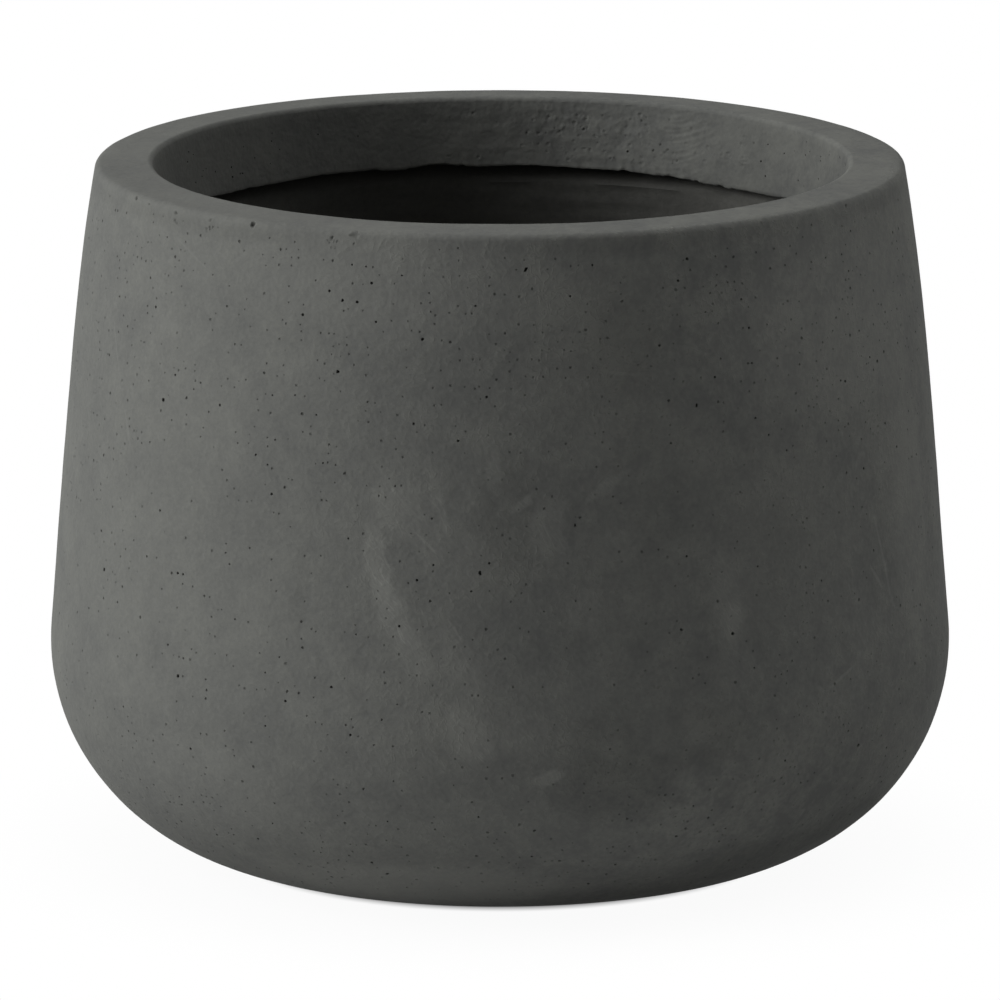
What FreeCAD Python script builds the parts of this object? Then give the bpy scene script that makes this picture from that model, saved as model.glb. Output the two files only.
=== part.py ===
import FreeCAD, Part
import math
import os

# Fibre-clay floor planter: a round cast vessel with a broad rim, and a rubber plug in its drain hole.
# Units are millimetres, +Z is up, and the origin is the centre of the foot ring, on the floor.
# Every piece is turned about Z. The wall's outline is a heel arc, a straight flank and a shoulder arc,
# tangent to each other, and each coat of the lay-up follows that outline at its own inset.

# Outline of the vessel
BELLY_RADIUS = 200.0
HEIGHT = 311.4
HEEL_ARC_RADIUS = 96.0
FLANK_LEAN_DEG = 4.75
SHOULDER_DEPTH = 94.4
SHOULDER_TURN_DEG = 5.0

# Rim, and the lip that turns down inside the mouth
RIM_WIDTH = 24.3
RIM_FALL = 0.9
RIM_EDGE_RADIUS = 6.7
MOUTH_EDGE_RADIUS = 2.2
LIP_DEPTH = 32.0
LIP_DRAFT_DEG = 6.5

# Foot ring and drain hole
FOOT_RING_WIDTH = 26.0
FOOT_RECESS = 4.0
FOOT_EDGE_RADIUS = 1.5
DRAIN_RADIUS = 12.5

# Seam between the face coats of the base and the wall: its angle on the heel arc, below the belly
SEAM_DEG = -60.0

# Coats of the lay-up, from the mould face inwards, and the slurry line that bonds them
FACE_COAT = 4.0
GLASS_MAT = 1.2
WALL_BACKING = 5.0
FLOOR_BACKING = 8.0
BOND_LINE = 0.2

# Neck of the wall's backing: it thickens towards the rim, up to a step under the lip
NECK_DEPTH = 90.0
LIP_STEP = 5.0

# Rubber drain plug: a domed head that seals on the inner floor, and a stem with sealing fins
PLUG_HEAD_RADIUS = 19.0
PLUG_HEAD_EDGE = 3.0
PLUG_HEAD_ROUND = 0.8
PLUG_CROWN = 1.6
PLUG_FIN_REACH = 1.6
PLUG_FIN_COUNT = 3
PLUG_FIN_LAND_SHARE = 0.25
PLUG_FIN_RAMP_SHARE = 0.4
PLUG_TAIL = 1.5
PLUG_TIP_CHAMFER = 1.2
PLUG_CLEARANCE = 0.08

# Inset of each coat's outer face from the vessel's outline
MAT_INSET = FACE_COAT + BOND_LINE
BACKING_INSET = MAT_INSET + GLASS_MAT + BOND_LINE
CAVITY_INSET = BACKING_INSET + WALL_BACKING

# Levels of the base and the lip, from the floor up
FACE_FLOOR_LEVEL = FOOT_RECESS + FACE_COAT
MAT_FLOOR_LEVEL = FACE_FLOOR_LEVEL + BOND_LINE
BACKING_FLOOR_LEVEL = MAT_FLOOR_LEVEL + GLASS_MAT + BOND_LINE
CAVITY_FLOOR_LEVEL = BACKING_FLOOR_LEVEL + FLOOR_BACKING
LIP_LOW_LEVEL = HEIGHT - LIP_DEPTH

AXIS_START = FreeCAD.Vector(0, 0, 0)
AXIS = FreeCAD.Vector(0, 0, 1)
FULL_TURN_DEG = 360.0
QUARTER_TURN = math.pi / 2

# How far a trimmed section reaches past the surface that trims it
CUT_OVERRUN = 5.0


def at(radius, height):
    """A point of a turned section."""
    return FreeCAD.Vector(radius, 0, height)


def polar(centre, radius, angle):
    """The point of a circle in the section, at an angle above the outward direction."""
    return centre + at(radius * math.cos(angle), radius * math.sin(angle))


# The outline's arcs and where they meet, worked out from the sizes above
SEAM_ANGLE = math.radians(SEAM_DEG)
FLANK_ANGLE = math.radians(FLANK_LEAN_DEG)
RIM_ANGLE = math.radians(FLANK_LEAN_DEG + SHOULDER_TURN_DEG)
FOOT_RADIUS = BELLY_RADIUS - HEEL_ARC_RADIUS
HEEL_CENTRE = at(FOOT_RADIUS, HEEL_ARC_RADIUS)
FLANK_LOW = polar(HEEL_CENTRE, HEEL_ARC_RADIUS, FLANK_ANGLE)
SHOULDER_LEVEL = HEIGHT - SHOULDER_DEPTH
FLANK_RISE = SHOULDER_LEVEL - FLANK_LOW.z
FLANK_HIGH = at(FLANK_LOW.x - FLANK_RISE * math.tan(FLANK_ANGLE), SHOULDER_LEVEL)
SHOULDER_ARC_RADIUS = SHOULDER_DEPTH / (math.sin(RIM_ANGLE) - math.sin(FLANK_ANGLE))
SHOULDER_CENTRE = polar(FLANK_HIGH, -SHOULDER_ARC_RADIUS, FLANK_ANGLE)


def line(start, end):
    return Part.LineSegment(start, end).toShape()


def arc(centre, radius, start_angle, end_angle):
    middle_angle = (start_angle + end_angle) / 2
    points = [polar(centre, radius, angle) for angle in (start_angle, middle_angle, end_angle)]
    return Part.Arc(*points).toShape()


def height_angle(centre, radius, height):
    """The angle at which a circle of the section reaches a height, on its outer side."""
    return math.asin((height - centre.z) / radius)


def flank_ends(inset):
    """The flank's lower and upper end, moved in by the inset."""
    low = polar(HEEL_CENTRE, HEEL_ARC_RADIUS - inset, FLANK_ANGLE)
    high = polar(SHOULDER_CENTRE, SHOULDER_ARC_RADIUS - inset, FLANK_ANGLE)
    return low, high


def wall_point(inset, height):
    """The point of the wall's outline, moved in by the inset, at a height."""
    low, high = flank_ends(inset)
    if height <= low.z:
        heel = HEEL_ARC_RADIUS - inset
        return polar(HEEL_CENTRE, heel, height_angle(HEEL_CENTRE, heel, height))
    if height >= high.z:
        shoulder = SHOULDER_ARC_RADIUS - inset
        return polar(SHOULDER_CENTRE, shoulder, height_angle(SHOULDER_CENTRE, shoulder, height))
    return at(low.x - (height - low.z) * math.tan(FLANK_ANGLE), height)


def level_arc(centre, radius, low_level, high_level):
    """The arc of a circle in the section between two heights."""
    angles = [height_angle(centre, radius, level) for level in (low_level, high_level)]
    return arc(centre, radius, *angles)


def wall_run(inset, low_level, high_level):
    """Edges of the wall's outline, moved in by the inset, from one height up to another."""
    low, high = flank_ends(inset)
    edges = []
    if low_level < low.z:
        edges.append(level_arc(HEEL_CENTRE, HEEL_ARC_RADIUS - inset, low_level, min(high_level, low.z)))
    if low_level < high.z and high_level > low.z:
        ends = [wall_point(inset, level) for level in (max(low_level, low.z), min(high_level, high.z))]
        edges.append(line(*ends))
    if high_level > high.z:
        shoulder = SHOULDER_ARC_RADIUS - inset
        edges.append(level_arc(SHOULDER_CENTRE, shoulder, max(low_level, high.z), high_level))
    return edges


# Corners of the rim and the lip before their edges are rounded, and where the rim's slope meets the axis
RIM_CORNER = wall_point(0, HEIGHT - RIM_FALL)
MOUTH_CORNER = at(RIM_CORNER.x - RIM_WIDTH, HEIGHT)
LIP_TAPER = LIP_DEPTH * math.tan(math.radians(LIP_DRAFT_DEG))
LIP_LOW_CORNER = at(MOUTH_CORNER.x - LIP_TAPER, LIP_LOW_LEVEL)
LIP_LINE = (LIP_LOW_CORNER, MOUTH_CORNER)
RIM_PEAK_LEVEL = HEIGHT + RIM_FALL * MOUTH_CORNER.x / RIM_WIDTH


def seam_point(inset, angle):
    """The point of the heel arc, moved in by the inset, on a line through the arc's centre."""
    return polar(HEEL_CENTRE, HEEL_ARC_RADIUS - inset, angle)


def lines_meet(first, second):
    """The point where two lines of the section cross."""
    along_first = first[1] - first[0]
    along_second = second[1] - second[0]
    apart = second[0] - first[0]
    normal = at(-along_second.z, along_second.x)
    return first[0] + along_first * (apart.dot(normal) / along_first.dot(normal))


def chain(points):
    """Straight edges from each point to the next."""
    return [line(start, end) for start, end in zip(points, points[1:])]


def turned(edges):
    """The solid of a closed section turned about the axis."""
    return Part.Face(Part.Wire(edges)).revolve(AXIS_START, AXIS, FULL_TURN_DEG)


def rounded(solid, corner, radius):
    """The solid with the circular edge through a corner of its section rounded."""
    vertex = Part.Vertex(corner)
    near = [edge for edge in solid.Edges if edge.distToShape(vertex)[0] < Part.Precision.confusion()]
    circles = [edge for edge in near if isinstance(edge.Curve, Part.Circle) and edge.isClosed()]
    return solid.makeFillet(radius, circles)


def vessel_envelope():
    """The whole vessel as one solid body, with its rounded rim edge, to trim the pieces that reach the rim."""
    edges = chain([at(0, RIM_PEAK_LEVEL), AXIS_START, wall_point(0, 0)])
    edges += wall_run(0, 0, RIM_CORNER.z)
    edges.append(line(RIM_CORNER, at(0, RIM_PEAK_LEVEL)))
    return rounded(turned(edges), RIM_CORNER, RIM_EDGE_RADIUS)


def face_base():
    """The cast face coat of the base: recessed underside, foot ring and the start of the heel."""
    ring_corner = at(FOOT_RADIUS - FOOT_RING_WIDTH, 0)
    recess_corner = ring_corner + at(-FOOT_RECESS, FOOT_RECESS)
    drain_low = at(DRAIN_RADIUS, FOOT_RECESS)
    drain_high = at(DRAIN_RADIUS, FACE_FLOOR_LEVEL)
    inner_heel = HEEL_ARC_RADIUS - FACE_COAT
    inner_angle = height_angle(HEEL_CENTRE, inner_heel, FACE_FLOOR_LEVEL)
    edges = chain([drain_low, recess_corner, ring_corner, wall_point(0, 0)])
    edges.append(arc(HEEL_CENTRE, HEEL_ARC_RADIUS, -QUARTER_TURN, SEAM_ANGLE))
    edges.append(line(seam_point(0, SEAM_ANGLE), seam_point(FACE_COAT, SEAM_ANGLE)))
    edges.append(arc(HEEL_CENTRE, inner_heel, SEAM_ANGLE, inner_angle))
    edges += chain([wall_point(FACE_COAT, FACE_FLOOR_LEVEL), drain_high, drain_low])
    return rounded(turned(edges), ring_corner, FOOT_EDGE_RADIUS)


def face_wall():
    """The cast face coat of the wall, from its seam on the heel up to the rounded edge of the rim."""
    start_angle = SEAM_ANGLE + BOND_LINE / HEEL_ARC_RADIUS
    outer_start = seam_point(-CUT_OVERRUN, start_angle)
    inner_start = seam_point(FACE_COAT, start_angle)
    over_level = RIM_PEAK_LEVEL + CUT_OVERRUN
    edges = wall_run(-CUT_OVERRUN, outer_start.z, over_level)
    edges.append(line(wall_point(-CUT_OVERRUN, over_level), wall_point(FACE_COAT, over_level)))
    edges += reversed(wall_run(FACE_COAT, inner_start.z, over_level))
    edges.append(line(inner_start, outer_start))
    return turned(edges).common(vessel_envelope()).Solids[0]


def wall_mat():
    """The glass mat behind the wall's face coat, from the base up to the underside of the rim."""
    back = MAT_INSET + GLASS_MAT
    high_level = LIP_LOW_LEVEL - BOND_LINE
    edges = wall_run(MAT_INSET, MAT_FLOOR_LEVEL, high_level)
    edges.append(line(wall_point(MAT_INSET, high_level), wall_point(back, high_level)))
    edges += reversed(wall_run(back, MAT_FLOOR_LEVEL, high_level))
    edges.append(line(wall_point(back, MAT_FLOOR_LEVEL), wall_point(MAT_INSET, MAT_FLOOR_LEVEL)))
    return turned(edges)


def base_mat():
    """The disc of glass mat across the base, cut out round the drain hole."""
    outer_radius = wall_point(BACKING_INSET, MAT_FLOOR_LEVEL).x
    disc = Part.makeCylinder(outer_radius, GLASS_MAT, at(0, MAT_FLOOR_LEVEL), AXIS)
    return disc.cut(Part.makeCylinder(DRAIN_RADIUS, GLASS_MAT, at(0, MAT_FLOOR_LEVEL), AXIS))


def backing_floor():
    """The inner floor, trowelled over the base mat, with the drain hole through it."""
    drain_low = at(DRAIN_RADIUS, BACKING_FLOOR_LEVEL)
    drain_high = at(DRAIN_RADIUS, CAVITY_FLOOR_LEVEL)
    edge_low = wall_point(BACKING_INSET, BACKING_FLOOR_LEVEL)
    edge_high = wall_point(BACKING_INSET, CAVITY_FLOOR_LEVEL)
    heel = HEEL_ARC_RADIUS - BACKING_INSET
    angles = [height_angle(HEEL_CENTRE, heel, point.z) for point in (edge_low, edge_high)]
    edges = chain([edge_high, drain_high, drain_low, edge_low])
    edges.append(arc(HEEL_CENTRE, heel, *angles))
    return turned(edges)


def backing_wall():
    """The inner lay-up of the wall, from the floor's edge up to the underside of the rim."""
    low_level = CAVITY_FLOOR_LEVEL + BOND_LINE
    high_level = LIP_LOW_LEVEL - BOND_LINE
    neck_low = LIP_LOW_LEVEL - NECK_DEPTH
    neck_high = at(LIP_LOW_CORNER.x + LIP_STEP, high_level)
    edges = wall_run(BACKING_INSET, low_level, high_level)
    edges += chain([wall_point(BACKING_INSET, high_level), neck_high, wall_point(CAVITY_INSET, neck_low)])
    edges += reversed(wall_run(CAVITY_INSET, low_level, neck_low))
    edges.append(line(wall_point(CAVITY_INSET, low_level), wall_point(BACKING_INSET, low_level)))
    return turned(edges)


def rim_ring():
    """The rim, packed by hand into the top of the wall: trowelled top, and a lip that overhangs the inside."""
    over_level = RIM_PEAK_LEVEL + CUT_OVERRUN
    lip_over = lines_meet(LIP_LINE, (at(0, over_level), at(BELLY_RADIUS, over_level)))
    edges = wall_run(MAT_INSET, LIP_LOW_LEVEL, over_level)
    edges += chain([wall_point(MAT_INSET, over_level), lip_over, LIP_LOW_CORNER,
                    wall_point(MAT_INSET, LIP_LOW_LEVEL)])
    ring = turned(edges).common(vessel_envelope()).Solids[0]
    return rounded(ring, MOUTH_CORNER, MOUTH_EDGE_RADIUS)


def drain_plug():
    """The rubber stopper: domed head on the inner floor, finned stem down through the drain hole."""
    crown_level = CAVITY_FLOOR_LEVEL + PLUG_HEAD_EDGE + PLUG_CROWN
    edge_level = CAVITY_FLOOR_LEVEL + PLUG_HEAD_EDGE
    tip_level = FOOT_RECESS - PLUG_TAIL
    fin_radius = DRAIN_RADIUS - PLUG_CLEARANCE
    stem_radius = fin_radius - PLUG_FIN_REACH
    fin_pitch = (CAVITY_FLOOR_LEVEL - FOOT_RECESS) / (PLUG_FIN_COUNT + 1)
    fin_land = fin_pitch * PLUG_FIN_LAND_SHARE
    fin_ramp = fin_pitch * PLUG_FIN_RAMP_SHARE
    crown_radius = (PLUG_HEAD_RADIUS ** 2 + PLUG_CROWN ** 2) / (2 * PLUG_CROWN)
    crown_centre = at(0, crown_level - crown_radius)
    edge_angle = height_angle(crown_centre, crown_radius, edge_level)
    head_corner = at(PLUG_HEAD_RADIUS, edge_level)
    points = [head_corner, at(PLUG_HEAD_RADIUS, CAVITY_FLOOR_LEVEL), at(stem_radius, CAVITY_FLOOR_LEVEL)]
    for index in range(PLUG_FIN_COUNT):
        fin_level = CAVITY_FLOOR_LEVEL - fin_pitch * (index + 1)
        points.append(at(stem_radius, fin_level))
        points.append(at(fin_radius, fin_level))
        points.append(at(fin_radius, fin_level - fin_land))
        points.append(at(stem_radius, fin_level - fin_land - fin_ramp))
    points.append(at(stem_radius, tip_level + PLUG_TIP_CHAMFER))
    points.append(at(stem_radius - PLUG_TIP_CHAMFER, tip_level))
    points.append(at(0, tip_level))
    points.append(at(0, crown_level))
    edges = chain(points)
    edges.append(arc(crown_centre, crown_radius, QUARTER_TURN, edge_angle))
    return rounded(turned(edges), head_corner, PLUG_HEAD_ROUND)


PIECES = (face_base, face_wall, base_mat, wall_mat, backing_floor, backing_wall, rim_ring, drain_plug)

os.makedirs("parts", exist_ok=True)
for piece in PIECES:
    piece().exportStep(os.path.join("parts", piece.__name__ + ".step"))
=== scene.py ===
import math
import random

import bmesh
import bpy
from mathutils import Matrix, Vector, noise


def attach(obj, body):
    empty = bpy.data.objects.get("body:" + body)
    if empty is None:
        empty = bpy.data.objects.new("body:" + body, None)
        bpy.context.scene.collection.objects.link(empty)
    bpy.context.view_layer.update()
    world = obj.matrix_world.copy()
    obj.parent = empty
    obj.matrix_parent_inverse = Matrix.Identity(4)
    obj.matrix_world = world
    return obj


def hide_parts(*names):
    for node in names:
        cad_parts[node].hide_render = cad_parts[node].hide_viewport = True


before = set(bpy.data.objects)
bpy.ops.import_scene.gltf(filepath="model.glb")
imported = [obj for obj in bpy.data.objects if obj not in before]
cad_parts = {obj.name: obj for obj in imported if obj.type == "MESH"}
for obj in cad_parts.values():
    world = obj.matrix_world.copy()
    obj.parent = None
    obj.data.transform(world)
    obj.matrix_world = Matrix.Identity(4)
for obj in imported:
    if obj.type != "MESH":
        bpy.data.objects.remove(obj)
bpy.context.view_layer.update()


# Face coat
# The outside of the planter is a thin coat of fibre-clay, a mix of cement, clay and chopped glass, pressed
# by hand into a mould over the base and up the wall. Air trapped against the mould leaves pinholes, and the
# coat is rubbed down and waxed once it is out, which leaves faint streaks.

MM = 0.001
HEIGHT = 311.4 * MM
BELLY_RADIUS = 200 * MM
HEEL_RADIUS = 96 * MM
FLANK_LEAN = math.radians(4.75)
SHOULDER_DEPTH = 94.4 * MM
SHOULDER_TURN = math.radians(5)
RIM_WIDTH = 24.3 * MM
RIM_FALL = 0.9 * MM
RIM_EDGE_BEVEL = 2.4 * MM
RIM_SEAM = 5.8 * MM
COAT = 4 * MM
FOOT_WIDTH = 26 * MM
FOOT_RECESS = 4 * MM
FOOT_BEVEL = 0.8 * MM
DRAIN_RADIUS = 12.5 * MM
COAT_STEP = 4 * MM
HIDDEN_STEP = 30 * MM
COAT_COLUMNS = 360
RIM_COLUMNS = 480
MERGE_DISTANCE = 0.001 * MM
CORNER_TOLERANCE = 0.02 * MM
SEAM_TOLERANCE = 0.1 * MM
FULL_MARK = 0.99
HALF_MARK = 0.5


def point(radius, height):
    """A point of a turned section, which is drawn in the XZ plane."""
    return Vector((radius, 0, height))


def polar(centre, radius, angle):
    """The point of a circle in the section, at an angle above the outward direction."""
    return centre + radius * point(math.cos(angle), math.sin(angle))


def level_angle(centre, radius, level):
    """The angle at which a circle of the section reaches a level."""
    return math.asin((level - centre.z) / radius)


heel_centre = point(BELLY_RADIUS - HEEL_RADIUS, HEEL_RADIUS)
flank_low = polar(heel_centre, HEEL_RADIUS, FLANK_LEAN)
shoulder_level = HEIGHT - SHOULDER_DEPTH
flank_run = (shoulder_level - flank_low.z) / math.cos(FLANK_LEAN)
flank_high = polar(flank_low, flank_run, FLANK_LEAN + math.pi / 2)
shoulder_radius = SHOULDER_DEPTH / (math.sin(FLANK_LEAN + SHOULDER_TURN) - math.sin(FLANK_LEAN))
shoulder_centre = polar(flank_high, -shoulder_radius, FLANK_LEAN)
rim_angle = level_angle(shoulder_centre, shoulder_radius, HEIGHT - RIM_FALL)
rim_corner = polar(shoulder_centre, shoulder_radius, rim_angle)
mouth_corner = point(rim_corner.x - RIM_WIDTH, HEIGHT)
rim_seam = rim_corner + RIM_SEAM * (mouth_corner - rim_corner).normalized()


class SectionPen:
    """Draws the section of a turned piece into a bmesh, one edge after another."""

    def __init__(self, mesh, start):
        self.mesh = mesh
        self.first = mesh.verts.new(start)
        self.tip = self.first

    def line(self, end, step):
        move = end - self.tip.co
        pieces = max(1, round(move.length / step))
        for _ in range(pieces):
            self.tip = bmesh.ops.extrude_vert_indiv(self.mesh, verts=[self.tip])["verts"][0]
            bmesh.ops.translate(self.mesh, verts=[self.tip], vec=move / pieces)

    def arc(self, centre, turn, step):
        pieces = max(1, round((self.tip.co - centre).length * abs(turn) / step))
        made = bmesh.ops.spin(self.mesh, geom=[self.tip], cent=centre, axis=(0, -1, 0), angle=turn,
                              steps=pieces)
        self.tip = next(part for part in made["geom_last"] if isinstance(part, bmesh.types.BMVert))

    def wall(self, inset, start_angle, end_level, step):
        """The wall's outline at an inset, from an angle on the heel arc up to a level of the shoulder."""
        self.arc(heel_centre, FLANK_LEAN - start_angle, step)
        self.line(polar(shoulder_centre, shoulder_radius - inset, FLANK_LEAN), step)
        end_angle = level_angle(shoulder_centre, shoulder_radius - inset, end_level)
        self.arc(shoulder_centre, end_angle - FLANK_LEAN, step)


def close_section(first_pen, second_pen):
    """Joins two lines of a section at both ends."""
    mesh = first_pen.mesh
    mesh.edges.new((first_pen.first, second_pen.first))
    mesh.edges.new((first_pen.tip, second_pen.tip))


def turn_section(mesh, columns):
    """Turns the section once round the axis."""
    bmesh.ops.spin(mesh, geom=mesh.verts[:] + mesh.edges[:], axis=(0, 0, 1), angle=2 * math.pi,
                   steps=columns, use_merge=True)
    bmesh.ops.remove_doubles(mesh, verts=mesh.verts[:], dist=MERGE_DISTANCE)
    bmesh.ops.recalc_face_normals(mesh, faces=mesh.faces[:])


def round_circle(mesh, corner, offset, segments):
    """Rounds the circular edge that a corner of the section was turned into."""
    def on_corner(vert):
        return (point(vert.co.xy.length, vert.co.z) - corner).length < CORNER_TOLERANCE
    edges = [edge for edge in mesh.edges if all(on_corner(vert) for vert in edge.verts)]
    bmesh.ops.bevel(mesh, geom=edges, offset=offset, offset_type="OFFSET", segments=segments, profile=0.5,
                    affect="EDGES", material=-1)


def clamp(share):
    """Keeps a share between nothing and one."""
    return min(1, max(0, share))


def bell(value, middle, spread):
    """A share that is one at the middle and fades to both sides."""
    return math.exp(-((value - middle) / spread) ** 2)


def front_bearing(spot):
    """Where a spot lies round the planter: nothing at the front, growing to the right."""
    return math.atan2(spot.x, -spot.y)


def spot_at(bearing, reach, level):
    """The spot at a bearing in degrees from the front, a reach from the axis and a level."""
    bearing = math.radians(bearing)
    return Vector((reach * math.sin(bearing), -reach * math.cos(bearing), level))


def fully_marked(face, layer):
    """Whether a mark holds at every corner of a face."""
    return all(vert[layer] > FULL_MARK for vert in face.verts)


def edges_of(faces):
    """The edges of some faces, each of them once."""
    return list(dict.fromkeys(edge for face in faces for edge in face.edges))


BROAD_WAVE = 70 * MM
BROAD_WAVE_HEIGHT = 0.28 * MM
SMALL_WAVE = 17 * MM
SMALL_WAVE_HEIGHT = 0.09 * MM
HOLLOW_INSIDE = 9 * MM
HOLLOW_HALF_WIDTH = 4.5 * MM
HOLLOW_BEARING = -0.8
HOLLOW_SPREAD = 0.35
HOLLOW_DEPTH = 0.35 * MM


def hand_wave(spot):
    """How far a hand-pressed surface stands proud of the true one at a spot."""
    broad = noise.noise(spot / BROAD_WAVE)
    small = noise.noise(spot / SMALL_WAVE)
    return BROAD_WAVE_HEIGHT * broad + SMALL_WAVE_HEIGHT * small


def rim_wave(spot):
    """The same for the rim's top, which the trowel hollowed a little at the left of the front."""
    across = bell(rim_corner.x - spot.xy.length, HOLLOW_INSIDE, HOLLOW_HALF_WIDTH)
    along = bell(front_bearing(spot), HOLLOW_BEARING, HOLLOW_SPREAD)
    return hand_wave(spot) - HOLLOW_DEPTH * across * along


POCK_GRAIN = 1.1 * MM
POCK_UNEVEN = 0.7
BEAD_REACH = 1.2
BEAD_HALF_WIDTH = 0.4
BEAD_HEIGHT = 0.1 * MM


def pock_at(spot, pocks, flatten=1.0):
    """How deep a list of pocks is at a spot and how far painted shade darkens it there; a low bead stands
    up round each pock.
    """
    uneven = 1 + POCK_UNEVEN * noise.noise(spot / POCK_GRAIN)
    deep = 0
    painted_darkness = 0
    for middle, radius, depth, darkness in pocks:
        offset = spot - middle
        offset.z *= flatten
        away = uneven * offset.length / radius
        if away < BEAD_REACH + BEAD_HALF_WIDTH:
            within = max(0, 1 - away ** 2)
            bead = max(0, 1 - abs(away - BEAD_REACH) / BEAD_HALF_WIDTH)
            deep += within * depth - BEAD_HEIGHT * bead
            painted_darkness = max(painted_darkness, within * darkness)
    return deep, painted_darkness


# Pits under the rim's edge: bearing in degrees, level, radius and depth in mm, and the darkness of the
# painted shade in them
EDGE_PITS = (
    (-62.2, 309, 0.9, 0.8, 0.7), (-58.2, 308.5, 0.6, 0.4, 0.5), (-51.5, 307.8, 0.9, 0.7, 0.6),
    (-44.1, 308, 0.8, 0.4, 0.35), (-36.4, 308.8, 1.35, 1.1, 0.7), (-20.3, 308.8, 1.9, 0.5, 0.3),
    (-23.6, 307.2, 0.75, 0.6, 0.7), (57, 308.5, 0.8, 0.6, 0.6), (160, 308.6, 1.3, 0.8, 0.6),
)
EDGE_PIT_MARGIN = 3 * MM
FOOT_FADE = 12 * MM
FOOT_FADE_START = 0.1

coat = bmesh.new()
shown = coat.verts.layers.float.new("shown")
# This attribute holds painted shade: how far the colour is darkened at each corner
coat.verts.layers.float.new("painted_shade")
ring_corner = point(heel_centre.x - FOOT_WIDTH, 0)
outer = SectionPen(coat, point(DRAIN_RADIUS, FOOT_RECESS))
outer.line(ring_corner + point(-FOOT_RECESS, FOOT_RECESS), 2 * COAT_STEP)
outer.line(ring_corner, COAT_STEP)
outer.line(point(heel_centre.x, 0), COAT_STEP)
outer.wall(0, -math.pi / 2, rim_corner.z - 2 * COAT_STEP, COAT_STEP)
outer.line(rim_corner, COAT_STEP)
outer.line(rim_seam, RIM_SEAM)
for vert in coat.verts:
    vert[shown] = 1
coat_floor = FOOT_RECESS + COAT
coat_angle = level_angle(heel_centre, HEEL_RADIUS - COAT, coat_floor)
inner = SectionPen(coat, point(DRAIN_RADIUS, coat_floor))
inner.line(polar(heel_centre, HEEL_RADIUS - COAT, coat_angle), HIDDEN_STEP)
inner.wall(COAT, coat_angle, rim_corner.z - RIM_SEAM, HIDDEN_STEP)
close_section(outer, inner)
turn_section(coat, COAT_COLUMNS)
round_circle(coat, rim_corner, RIM_EDGE_BEVEL, segments=5)
round_circle(coat, ring_corner, FOOT_BEVEL, segments=2)
edge_pits = []
edge_faces = []
for bearing, level, radius, depth, darkness in EDGE_PITS:
    angle = level_angle(shoulder_centre, shoulder_radius, level * MM)
    spot = spot_at(bearing, polar(shoulder_centre, shoulder_radius, angle).x, level * MM)
    span = radius * MM + EDGE_PIT_MARGIN
    near = [face for face in coat.faces if (face.calc_center_median() - spot).length < span]
    edge_faces += [face for face in near if fully_marked(face, shown)]
    edge_pits.append((spot, radius * MM, depth * MM, darkness))
bmesh.ops.subdivide_edges(coat, edges=edges_of(edge_faces), cuts=4, use_grid_fill=True)
coat.normal_update()
pit_shade_layer = coat.verts.layers.float["painted_shade"]
for vert in coat.verts:
    spot = vert.co.copy()
    on_rim_top = spot.z > rim_corner.z and spot.xy.length < rim_seam.x + SEAM_TOLERANCE
    above_foot = clamp(spot.z / FOOT_FADE - FOOT_FADE_START)
    if on_rim_top:
        vert.co.z += vert[shown] * rim_wave(spot)
    else:
        vert.co += vert[shown] * above_foot * hand_wave(spot) * vert.normal
    if vert[shown] > HALF_MARK and spot.z > rim_corner.z - 2 * COAT_STEP:
        # The edge pits are darkened with painted shade as well as sunk
        deep, vert[pit_shade_layer] = pock_at(spot, edge_pits)
        vert.co -= deep * vert.normal


# Faces are sorted by steps that suit the columns of both the coat and the rim
BEARING_STEPS = 8 * math.lcm(COAT_COLUMNS, RIM_COLUMNS)


def by_place(faces):
    """Sorts faces by where they lie, because the mesh operators number them differently each run."""
    def place(face):
        middle = face.calc_center_median()
        return round(front_bearing(middle) / (2 * math.pi) * BEARING_STEPS), middle.z
    return sorted(faces, key=place)


# Shares of a pit's radius, and how far size, outline and the darkness of the painted shade vary from pit to
# pit
PIT_MARGIN = 0.3
PIT_TAPER = 0.45
PIT_SIZES = (0.75, 1.2)
PIT_OUTLINES = (0.8, 1.15)
PIT_SHADES = (0.7, 1)
PIT_DRIFT = 0.9 * MM
START_TURN = math.pi / 8


def sink_pits(mesh, faces, radius, depth, darkness, chance, stretch=1.0, drift=PIT_DRIFT, rounded=True):
    """Sinks one irregular pit into each face, near its middle, and marks how far painted shade darkens it.
    """
    shade = mesh.verts.layers.float["painted_shade"]
    bmesh.ops.inset_individual(mesh, faces=faces, thickness=PIT_MARGIN * radius)
    if rounded:
        bmesh.ops.bisect_edges(mesh, edges=edges_of(faces), cuts=1)
    for face in faces:
        around = [loop.vert for loop in face.loops]
        across = Vector((0, 0, 1)).cross(face.normal).normalized()
        along = face.normal.cross(across)
        middle = face.calc_center_median()
        offsets = [vert.co - middle for vert in around]
        turns = [math.atan2(offset.dot(along), offset.dot(across)) for offset in offsets]
        first = min(range(len(turns)), key=lambda order: (turns[order] + START_TURN) % (2 * math.pi))
        around = around[first:] + around[:first]
        lean = chance.uniform(0, math.pi)
        middle += drift * (chance.uniform(-1, 1) * across + chance.uniform(-1, 1) * along)
        size = radius * chance.uniform(*PIT_SIZES)
        for order, vert in enumerate(around):
            turn = turns[first] + 2 * math.pi * order / len(around)
            reach = size * chance.uniform(*PIT_OUTLINES)
            reach *= 1 + (stretch - 1) * math.cos(turn - lean) ** 2
            vert.co = middle + reach * (math.cos(turn) * across + math.sin(turn) * along)
    bmesh.ops.inset_individual(mesh, faces=faces, thickness=PIT_TAPER * radius, depth=-depth)
    for face in faces:
        painted_darkness = darkness * chance.uniform(*PIT_SHADES)
        for vert in face.verts:
            vert[shade] = painted_darkness


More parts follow.
